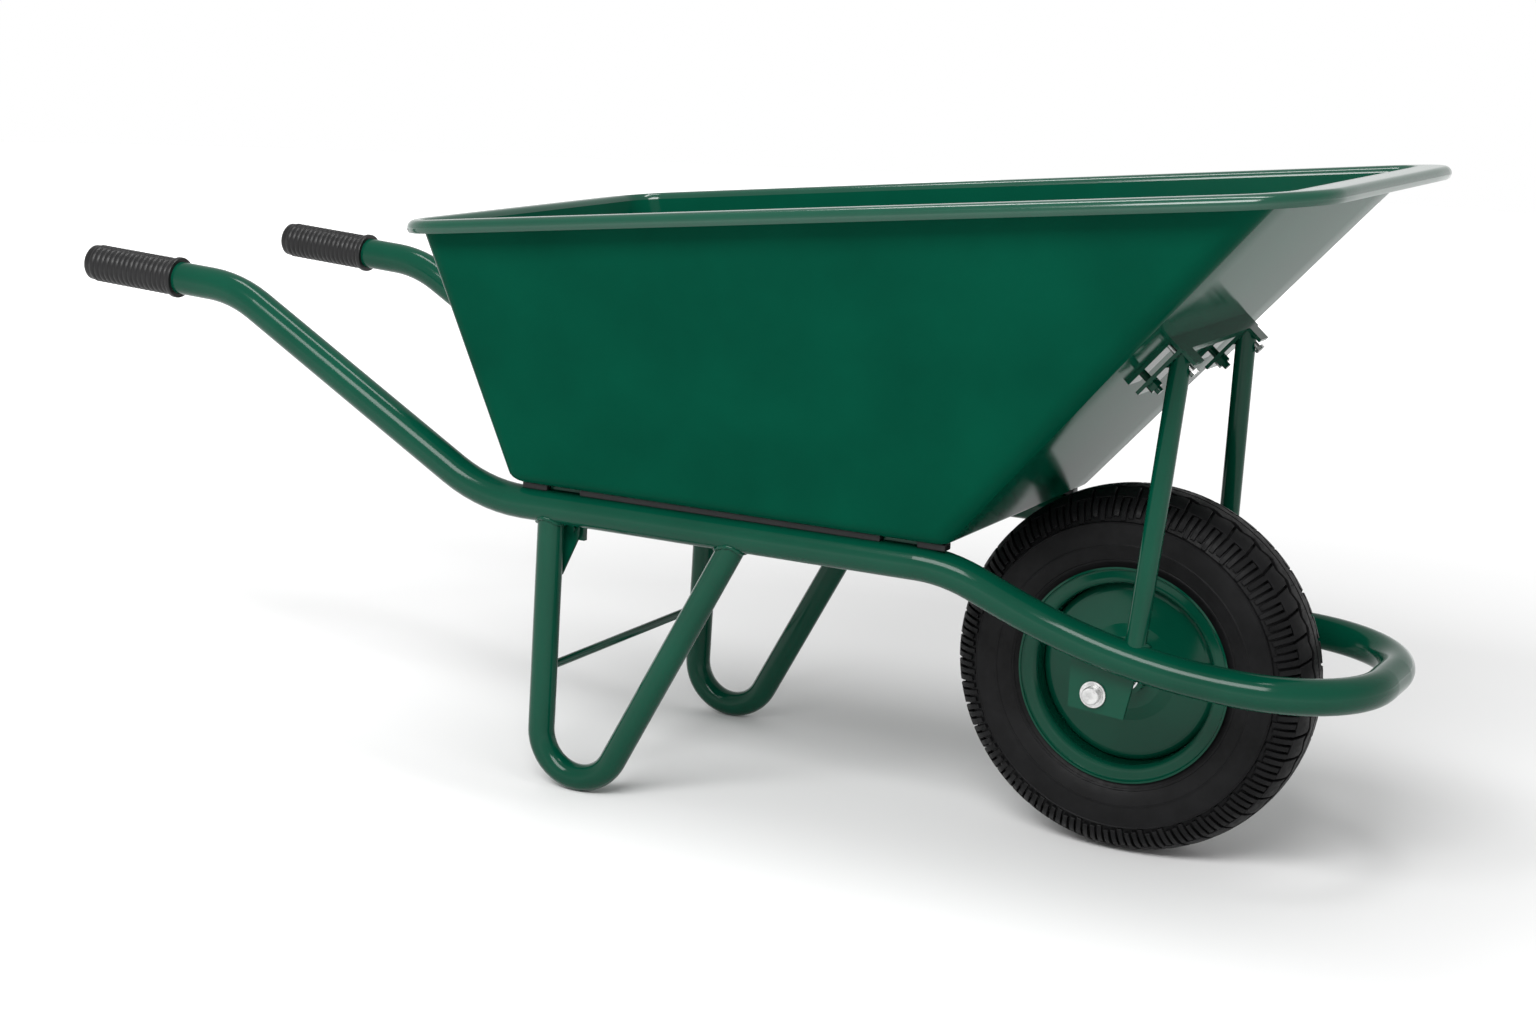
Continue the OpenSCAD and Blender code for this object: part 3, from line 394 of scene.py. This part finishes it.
class BARROW_OT_tyre(bpy.types.Operator):
    """Mould the tyre: smooth ringed sidewalls, ribbed shoulders, zig-zag grooves and tread blocks"""
    bl_idname = "barrow.tyre"
    bl_label = "Tyre"

    def carcass(self, bm):
        """The skin under the tread, with raised rings on the sidewall and a bead at the rim."""
        tread_end, shoulder_end, shoulder_depth = 50, 14, 2.4

        def depth(t):
            if t > tread_end:
                return -TREAD_DEPTH
            if t > shoulder_end:
                share = (tread_end - t) / (tread_end - shoulder_end)
                return -TREAD_DEPTH + share * (TREAD_DEPTH - shoulder_depth)
            return 0.0

        crown = (90, 84, 78, 72, 66, 60, 54, 50, 44, 38, 32, 26, 20, 15)
        side = [section_point(t, depth(t)) for t in crown]
        # Pairs of section angle and lift: plain stretches between three raised rings
        wall = (
            (13.6, 0.0), (13.0, 0.7), (12.2, 0.7), (11.6, 0.0), (6, 0.0), (0, 0.0), (-5, 0.0),
            (-7.0, 0.0), (-7.5, 0.45), (-8.2, 0.45), (-8.7, 0.0), (-14, 0.0), (-20, 0.0), (-25, 0.0),
            (-27.0, 0.0), (-27.6, 0.9), (-30.0, 1.0), (-30.8, 0.0), (-34, 0.0),
        )
        side += [section_point(t, lift) for t, lift in wall]
        side += [(117.0, 44.2), (104.0, 43.5), (102.5, 40.0)]
        spin_profile(bm, side + [(r, -y) for r, y in reversed(side)], 180)

    def lug(self, bm, across, along, t_low, t_high, u_low, u_high, depth, slope=0.0):
        """One raised block: t edges may be functions of u, the share of a pitch."""
        sunk = 0.6
        made = bmesh.ops.create_grid(bm, x_segments=along, y_segments=across, size=0.5)["verts"]
        faces = {f for v in made for f in v.link_faces}
        raised = bmesh.ops.extrude_face_region(bm, geom=list(faces), use_keep_orig=True)["geom"]
        top = set(verts_of(raised))
        for v in set(made) | top:
            share = v.co.y + 0.5
            u = u_low + (u_high - u_low) * (v.co.x + 0.5)
            low = t_low(u) if callable(t_low) else t_low
            high = t_high(u) if callable(t_high) else t_high
            t = low + (high - low) * share
            lift = 0.0 if v in top else -depth - sunk
            r, y = section_point(t, lift)
            angle = (u + slope * share) * self.pitch
            around = Vector((r * math.cos(angle), 0, r * math.sin(angle)))
            v.co = AXLE_MID + around * MM + Vector((0, y * MM, 0))
        round_top = {e for v in top for e in v.link_edges if e.other_vert(v) in top}
        return [e for e in round_top if any(not top.issuperset(f.verts) for f in e.link_faces)]

    def execute(self, context):
        self.pitch = math.tau / PITCHES
        bm = bmesh.new()
        self.carcass(bm)
        lugs = bmesh.new()

        def zig(u):
            """Zig-zag of the groove's edge, in degrees of section angle."""
            return ZIG_SWING * (1 if (u % 1.0) < 0.5 else -1) * (1 - abs((u % 0.5) * 4 - 1))

        def rib_edge(u):
            return angle_for(RIB_EDGE) + zig(u)

        def block_edge(u):
            return angle_for(BLOCK_EDGE) + zig(u)

        edges = self.lug(lugs, 2, 8, rib_edge, angle_for(GROOVE_HALF), 0.0, 1.0, TREAD_DEPTH)
        edges += self.lug(lugs, 4, 4, angle_for(BLOCK_END), block_edge, 0.05, 0.93, TREAD_DEPTH, 0.12)
        # Three shoulder sipes of different lengths in each pitch
        for k, outer_end in enumerate((19.0, 15.5, 21.0)):
            start = 0.03 + k * 0.33
            edges += self.lug(lugs, 5, 1, outer_end, 52.5 - (k % 2) * 2, start, start + 0.22, 3.8)
        bmesh.ops.bevel(lugs, geom=edges, offset=0.0005, offset_type="OFFSET", affect="EDGES", segments=1,
                        profile=0.5, material=-1, clamp_overlap=True)
        twin = bmesh.ops.duplicate(lugs, geom=lugs.verts[:] + lugs.edges[:] + lugs.faces[:])["geom"]
        half_pitch = Matrix.Rotation(self.pitch * 0.5, 4, "Y")
        for v in verts_of(twin):
            v.co = Vector((v.co.x, -v.co.y, v.co.z))
            v.co = AXLE_MID + half_pitch @ (v.co - AXLE_MID)
        bmesh.ops.reverse_faces(lugs, faces=faces_of(twin))
        one_pitch = lugs.verts[:] + lugs.edges[:] + lugs.faces[:]
        bmesh.ops.spin(lugs, geom=one_pitch, cent=AXLE_MID, axis=(0, 1, 0), angle=math.tau - self.pitch,
                       steps=PITCHES - 1, use_duplicate=True, use_merge=False)
        blocks = bpy.data.meshes.new("lugs")
        lugs.to_mesh(blocks)
        lugs.free()
        bm.from_mesh(blocks)
        bpy.data.meshes.remove(blocks)
        new_piece("tyre_moulding", bm, "tyre", "wheel", 40.0, ("tyre",))
        return {"FINISHED"}


class BARROW_OT_tray(bpy.types.Operator):
    """Press the tray from sheet: rounded floor edge, leaning walls and a rolled, turned-down rim"""
    bl_idname = "barrow.tray"
    bl_label = "Tray"

    # Millimetres from the ground under the axle; leans in degrees from upright
    FLOOR = 347.15
    FRONT, REAR, SIDE = -148.0, -675.0, 212.0
    LEAN = {"front": 40.8, "rear": 20.9, "side": 8.4}
    RIM_REAR, RIM_FRONT = 630.0, 740.0
    SHEET = 1.5
    FLOOR_EDGE_R = 18.0
    FLOOR_CORNER_R, FOOT_CORNER_R = 10.0, 18.0
    WALL_CORNER_R, RIM_CORNER_R = 32, 84
    # The rim: where its flat starts and ends, its round edge, and how far the front reaches further
    FLAT_START, FLAT_END, CURL_R = 4.5, 19.0, 7
    FRONT_REACH = 18.0
    RIM_DEPTH = 17

    def plane(self, x):
        """Height of the rim's top plane at x."""
        return self.rear_h + (x - self.rear_x) * self.slope

    def ring(self, front, rear, side_front, side_rear, radius, height):
        """Rounded rectangle; height takes x, the share that faces sideways, and whether it is in front."""
        steps, fill = 8, 7
        corners = (
            (front, side_front, 0), (rear, side_rear, 90), (rear, -side_rear, 180), (front, -side_front, 270),
        )
        points = []
        for x, y, start in corners:
            ahead = start in (0, 270)
            cx = x - radius if ahead else x + radius
            cy = y - math.copysign(radius, y)
            for i in range(steps + 1):
                a = math.radians(start + 90 * i / steps)
                c, s = math.cos(a), math.sin(a)
                points.append((cx + radius * c, cy + radius * s, s ** 2, ahead))
        full = []
        for i, p in enumerate(points):
            full.append(p)
            if i % (steps + 1) == steps:
                q = points[(i + 1) % len(points)]
                for k in range(1, fill + 1):
                    w = k / (fill + 1)
                    ahead = p[3] if w < 0.5 else q[3]
                    full.append((p[0] + (q[0] - p[0]) * w, p[1] + (q[1] - p[1]) * w, p[2], ahead))
        return [from_axle(x, y, height(x, sideways, ahead)) for x, y, sideways, ahead in full]

    def floor_loops(self):
        """The rounded edge from the floor up to the foot of the walls."""
        loops = []
        for q in (0.0, 0.2, 0.4, 0.6, 0.8, 1.0):
            out, up = {}, {}
            for wall, lean in self.LEAN.items():
                sweep = 90 - lean
                run = self.FLOOR_EDGE_R * math.tan(math.radians(sweep / 2))
                a = math.radians(sweep * q)
                out[wall] = self.FLOOR_EDGE_R * math.sin(a) - run
                up[wall] = self.FLOOR_EDGE_R * (1 - math.cos(a))

            def height(x, sideways, ahead, up=up):
                end = up["front"] if ahead else up["rear"]
                return self.FLOOR + end + (up["side"] - end) * sideways

            side = self.SIDE + out["side"]
            radius = self.FLOOR_CORNER_R + (self.FOOT_CORNER_R - self.FLOOR_CORNER_R) * q
            front, rear = self.FRONT + out["front"], self.REAR - out["rear"]
            loops.append(self.ring(front, rear, side, side, radius, height))
        return loops

    def rim_loops(self, tan, front_top, rear_top):
        """The top of the walls, the rim's flat and the edge that turns down."""
        # Offsets from the wall, and heights over the rim's plane
        curl = [(0.0, -6.0), (0.6, -3.0), (2.2, -1.0)]
        curl += [(self.FLAT_START, 0.0), (10.0, 0.2), (self.FLAT_END, 0.0)]
        for turn in range(15, 150, 15):
            a = math.radians(turn)
            curl.append((self.FLAT_END + self.CURL_R * math.sin(a), self.CURL_R * (math.cos(a) - 1)))
        half_front = self.SIDE + (self.RIM_FRONT - self.FLOOR) * tan["side"]
        half_rear = self.SIDE + (self.RIM_REAR - self.FLOOR) * tan["side"]
        loops = []
        for off, rise in curl:
            reach = min(1.0, max(0.0, (off - self.FLAT_START) / (self.FLAT_END - self.FLAT_START)))
            widen = min(1.0, max(0.0, off / self.FLAT_END))
            shift = rise if off < 3 else 0.0
            radius = self.WALL_CORNER_R + (self.RIM_CORNER_R - self.WALL_CORNER_R) * widen
            if off > self.FLAT_END:
                radius += off - self.FLAT_END

            def height(x, sideways, ahead, rise=rise):
                return self.plane(x) + rise

            loops.append(self.ring(
                front_top + off + self.FRONT_REACH * reach + shift * tan["front"],
                rear_top - off - shift * tan["rear"],
                half_front + off + shift * tan["side"], half_rear + off + shift * tan["side"],
                radius, height))
        return loops

    def execute(self, context):
        tan = {k: math.tan(math.radians(v)) for k, v in self.LEAN.items()}
        rear_top = self.REAR - (self.RIM_REAR - self.FLOOR) * tan["rear"]
        front_top = self.FRONT + (self.RIM_FRONT - self.FLOOR) * tan["front"]
        self.slope = (self.RIM_FRONT - self.RIM_REAR) / (front_top - rear_top)
        self.rear_x, self.rear_h = rear_top, self.RIM_REAR
        loops = self.floor_loops() + self.rim_loops(tan, front_top, rear_top)
        bm = bmesh.new()
        loft(bm, loops)
        bottom = sorted((e for e in bm.edges if e.is_boundary),
                        key=lambda e: sum(v.co.z for v in e.verts))[:len(loops[0])]
        bmesh.ops.contextual_create(bm, geom=bottom)
        bmesh.ops.recalc_face_normals(bm, faces=bm.faces)
        if max(bm.faces, key=lambda f: f.calc_area()).normal.z > 0:
            bmesh.ops.reverse_faces(bm, faces=bm.faces)
        bmesh.ops.solidify(bm, geom=bm.faces[:], thickness=self.SHEET * MM)
        for face in bm.faces:
            mid = face.calc_center_median()
            if mid.z / MM > self.plane((mid.x - AXLE_X) / MM) - self.RIM_DEPTH:
                face.material_index = 1
        tray = new_piece("tray_pressing", bm, "tray", "frame", 32.0, ("tray",))
        tray.data.materials.append(finish("rim_edge"))
        return {"FINISHED"}


def bead(bm, points, radius, closed):
    """A weld bead: a thin bar along the points that swells and shrinks like laid weld metal."""
    sides = 7
    loops = []
    n = len(points)
    for i, p in enumerate(points):
        before = points[(i - 1) % n] if closed or i else p
        after = points[(i + 1) % n] if closed or i < n - 1 else p
        ahead = (after - before).normalized()
        side = ahead.cross(Vector((0.31, 0.87, 0.38))).normalized()
        up = side.cross(ahead)
        r = radius * (1.0 + 0.16 * math.sin(i * 2.1) + 0.05 * math.sin(i * 5.3))
        if not closed and i in (0, n - 1):
            r *= 0.35
        loops.append([p + (side * math.cos(k / sides * math.tau) + up * math.sin(k / sides * math.tau)) * r
                      for k in range(sides)])
    if closed:
        loops.append(loops[0])
    loft(bm, loops)
    if not closed:
        bmesh.ops.holes_fill(bm, edges=[e for e in bm.edges if e.is_boundary], sides=sides)


class BARROW_OT_welds(bpy.types.Operator):
    """Lay weld beads where the legs, stays, plates and bars meet the frame tube"""
    bl_idname = "barrow.welds"
    bl_label = "Welds"

    # Sideways place of the legs in millimetres, and the radius of a leg's tube in metres
    LEG_Y, LEG_R = 186, 0.0152

    def tree(self, node):
        bm = bmesh.new()
        bm.from_mesh(NODES[node].data)
        tree = BVHTree.FromBMesh(bm)
        bm.free()
        return tree

    def collar(self, bm, tree, top, low, radius, bead_r, steps=40):
        """Bead round the end of a tube that runs from low up to top and meets the tree's surface."""
        ahead = (top - low).normalized()
        side = ahead.cross(Vector((0, 1, 0))).normalized()
        up = side.cross(ahead)
        points = []
        for i in range(steps):
            a = i / steps * math.tau
            start = low + (side * math.cos(a) + up * math.sin(a)) * radius
            hit = tree.ray_cast(start, ahead)[0]
            if hit:
                points.append(hit)
        if len(points) > 3:
            bead(bm, points, bead_r, True)

    def line(self, bm, start, end, bead_r, tree=None, ahead=None):
        steps = max(4, int((end - start).length / 0.0035))
        points = [start.lerp(end, i / steps) for i in range(steps + 1)]
        if tree:
            points = [h for h in (tree.ray_cast(p, ahead)[0] for p in points) if h]
        if len(points) > 2:
            bead(bm, points, bead_r, False)

    def execute(self, context):
        tube = self.tree("frame_tube")
        bm = bmesh.new()
        for side in (1, -1):
            y = side * self.LEG_Y
            self.collar(bm, tube, from_axle(-631, y, 322), from_axle(-634.7, y, 130), self.LEG_R, 0.0026)
            self.collar(bm, tube, from_axle(-395, y, 322), from_axle(-500, y, 121.6), self.LEG_R, 0.0026)
            stay_foot = from_axle(43, side * 140.2, 237.6)
            stay_head = from_axle(56.2, side * 112, 527)
            self.collar(bm, tube, stay_foot, stay_foot.lerp(stay_head, 0.3), 0.0114, 0.0034, 26)
            # Along the top of each axle plate, inside and out
            low, high, _ = span("left_axle_plate")
            for y_at in (low.y - 0.0008, high.y + 0.0008):
                ends = [Vector((x, side * y_at, AXLE_Z + 0.005)) for x in (low.x + 0.004, high.x - 0.006)]
                self.line(bm, ends[0], ends[1], 0.0021, tube, Vector((0, 0, 1)))
            # Across the underside of both cross bars
            for node in ("rear_cross_bar", "front_cross_bar"):
                low, high, mid = span(node)
                z = high.z - 0.0058
                for x in (mid.x - 0.0205, mid.x + 0.0205):
                    self.line(bm, Vector((x, side * 0.169, z)), Vector((x, side * 0.186, z)), 0.002)
            # Down both edges of each gusset
            low, high, _ = span("left_gusset")
            for y_at in (low.y, high.y):
                self.line(bm, Vector((low.x + 0.0125, side * y_at, low.z + 0.004)),
                          Vector((low.x + 0.0125, side * y_at, high.z - 0.016)), 0.0016)
            self.collar(bm, self.tree("left_leg" if side > 0 else "right_leg"),
                        from_axle(-635, side * self.LEG_Y, 134), from_axle(-635, 0, 134), 0.0051, 0.0017, 20)
        new_piece("weld_beads", bm, "enamel", "frame", 60.0)
        return {"FINISHED"}


class BARROW_OT_gap_shade(bpy.types.Operator):
    """Lay dark strips on the rails, under the tray floor and between the cross bars, as painted shade that
    fills the gap there
    """
    bl_idname = "barrow.packing"
    bl_label = "Gap shade strips"

    def execute(self, context):
        rear_low, rear_high, _ = span("rear_cross_bar")
        front_low, front_high, _ = span("front_cross_bar")
        tray_low = span("tray")[0].z
        rail_y = rear_high.y
        gap, overhang = 0.001, 0.033
        runs = (
            (rear_low.x - overhang, rear_low.x - gap),
            (rear_high.x + gap, front_low.x - gap),
            (front_high.x + gap, front_high.x + overhang),
        )
        # Dark rubber-coloured strips close the slit between the rails and the tray floor: painted shade for
        # the shadow band there
        low, high, half = tray_low - 0.008, tray_low - 0.0002, 0.008
        bm = bmesh.new()
        for side in (1, -1):
            for start, end in runs:
                made = bmesh.ops.create_cube(bm, size=1.0)["verts"]
                bmesh.ops.scale(bm, vec=(end - start, 2 * half, high - low), verts=made)
                bmesh.ops.translate(bm, vec=((start + end) / 2, side * rail_y, (low + high) / 2), verts=made)
        bmesh.ops.bevel(bm, geom=bm.edges[:], offset=0.0015, offset_type="OFFSET", affect="EDGES", segments=3,
                        profile=0.5, material=-1)
        new_piece("gap_shade_strips", bm, "grip", "frame", 50.0)
        return {"FINISHED"}


class BARROW_OT_grips(bpy.types.Operator):
    """Mould the ribbed grips with soft round ribs, a thick collar and a domed end"""
    bl_idname = "barrow.grips"
    bl_label = "Grips"

    # Millimetres along the grip from its domed end, and the radius of its bore
    RIBS, RIBS_START, RIBS_END = 16, 10.0, 124.0
    BORE_R = 19.2

    def execute(self, context):
        for name, side in (("left_grip", 1), ("right_grip", -1)):
            end = from_axle(-1277, side * 192, 535)
            ahead = (from_axle(-1068, side * 189, 523.5) - end).normalized()
            profile = [(0.4, 0.0), (15.0, 0.0), (18.6, 0.9), (20.6, 3.0), (20.9, 6.0), (20.8, 9.0)]
            pitch = (self.RIBS_END - self.RIBS_START) / self.RIBS
            for i in range(self.RIBS):
                base = self.RIBS_START + i * pitch
                profile += [
                    (20.8, base), (21.6, base + pitch * 0.14), (22.0, base + pitch * 0.32),
                    (22.0, base + pitch * 0.6), (21.6, base + pitch * 0.8), (20.8, base + pitch * 0.93),
                ]
            profile += [(20.9, 124.2), (23.4, 124.8), (24.0, 126.0), (24.0, 129.6), (23.4, 131.0)]
            profile += [(self.BORE_R, 131.0), (self.BORE_R, 118.0)]
            origin = end - ahead * 3 * MM
            side_axis = ahead.cross(Vector((0, 1, 0))).normalized()
            bm = bmesh.new()
            row = [bm.verts.new(origin + ahead * z * MM + side_axis * r * MM) for r, z in profile]
            edges = [bm.edges.new(pair) for pair in zip(row, row[1:])]
            bmesh.ops.spin(bm, geom=row + edges, cent=origin, axis=ahead, angle=math.tau, steps=56,
                           use_merge=True, use_duplicate=False)
            bmesh.ops.holes_fill(bm, edges=[e for e in bm.edges if e.is_boundary
                                            and (e.verts[0].co - origin).length < 0.001], sides=0)
            new_piece(name + "_moulding", bm, "grip", "frame", 50.0, (name,))
        return {"FINISHED"}


class BARROW_OT_stage(bpy.types.Operator):
    """Lay the pale floor, hang the soft lights and place the camera"""
    bl_idname = "barrow.stage"
    bl_label = "Stage"

    def floor(self, context):
        bm = bmesh.new()
        bmesh.ops.create_circle(bm, cap_ends=True, segments=96, radius=9.0)
        mesh = bpy.data.meshes.new("studio_floor")
        bm.to_mesh(mesh)
        bm.free()
        mesh.materials.append(finish("floor"))
        floor = bpy.data.objects.new("studio_floor", mesh)
        context.scene.collection.objects.link(floor)

    def lamp(self, context, name, place, aim, size, power):
        data = bpy.data.lights.new(name, "AREA")
        data.shape = "RECTANGLE"
        data.size, data.size_y = size
        data.energy = power
        lamp = bpy.data.objects.new(name, data)
        lamp.location = place
        lamp.rotation_euler = (Vector(aim) - Vector(place)).to_track_quat("-Z", "Y").to_euler()
        context.scene.collection.objects.link(lamp)

    def execute(self, context):
        self.floor(context)
        middle = (CAD_BOX[0] + CAD_BOX[1]) / 2
        self.lamp(context, "overhead", (-0.1, -0.2, 3.0), middle, (2.6, 0.4), 44)
        self.lamp(context, "front_box", (0.3, -2.9, 2.7), middle, (2.8, 1.3), 150)
        world = bpy.data.worlds.new("studio")
        world.use_nodes = True
        nodes = world.node_tree.nodes
        links = world.node_tree.links
        # White down to and below the horizon, dimmer overhead
        coords = nodes.new("ShaderNodeTexCoord")
        split = nodes.new("ShaderNodeSeparateXYZ")
        fade = nodes.new("ShaderNodeMapRange")
        fade.inputs["From Min"].default_value = 0.06
        fade.inputs["From Max"].default_value = 0.45
        fade.inputs["To Min"].default_value = 1.0
        fade.inputs["To Max"].default_value = 0.62
        links.new(coords.outputs["Generated"], split.inputs["Vector"])
        links.new(split.outputs["Z"], fade.inputs["Value"])
        links.new(fade.outputs["Result"], nodes["Background"].inputs["Strength"])
        nodes["Background"].inputs["Color"].default_value = (1, 1, 1, 1)
        context.scene.view_settings.view_transform = "Standard"
        context.scene.world = world
        self.camera(context)
        return {"FINISHED"}

    def camera(self, context):
        azimuth, pitch, roll = math.radians(26.57), math.radians(11.79), math.radians(2.71)
        # Focal length as a share of the frame's width
        focal_share = 2669 / 1536
        place = Vector((AXLE_MID.x + 0.886, -2.681, 0.934))
        level_share = math.cos(pitch)
        ahead = Vector((-math.sin(azimuth) * level_share, math.cos(azimuth) * level_share, -math.sin(pitch)))
        level = ahead.cross(Vector((0, 0, 1))).normalized()
        upright = level.cross(ahead)
        right = level * math.cos(roll) + upright * math.sin(roll)
        up = upright * math.cos(roll) - level * math.sin(roll)
        turn = Matrix((right, up, -ahead)).transposed().to_4x4()
        data = bpy.data.cameras.new("camera")
        data.sensor_width = 36.0
        data.lens = focal_share * data.sensor_width
        camera = bpy.data.objects.new("camera", data)
        camera.matrix_world = Matrix.Translation(place) @ turn
        context.scene.collection.objects.link(camera)
        context.scene.camera = camera


class BARROW_PT_panel(bpy.types.Panel):
    """Lists the steps that finish the barrow"""
    bl_idname = "BARROW_PT_panel"
    bl_label = "Barrow"
    bl_space_type = "VIEW_3D"
    bl_region_type = "UI"
    bl_category = "Barrow"

    def draw(self, context):
        for group in ("barrow_paint", "barrow_rubber", "barrow_stage"):
            settings = getattr(context.scene, group)
            for key in settings.__annotations__:
                self.layout.prop(settings, key)
        for step in STEPS:
            self.layout.operator(step.bl_idname)


SETTINGS = {
    "barrow_paint": PaintSettings,
    "barrow_rubber": RubberSettings,
    "barrow_stage": StageSettings,
}
STEPS = (
    BARROW_OT_frame_finish,
    BARROW_OT_tray,
    BARROW_OT_tyre,
    BARROW_OT_grips,
    BARROW_OT_gap_shade,
    BARROW_OT_welds,
    BARROW_OT_stage,
)
CLASSES = (*SETTINGS.values(), *STEPS, BARROW_PT_panel)


def register():
    for made in CLASSES:
        bpy.utils.register_class(made)
    for name, group in SETTINGS.items():
        setattr(bpy.types.Scene, name, PointerProperty(type=group))


def unregister():
    for name in SETTINGS:
        delattr(bpy.types.Scene, name)
    for made in reversed(CLASSES):
        bpy.utils.unregister_class(made)


def main():
    register()
    for step in STEPS:
        family, action = step.bl_idname.split(".")
        getattr(getattr(bpy.ops, family), action)()


if __name__ == "__main__":
    main()
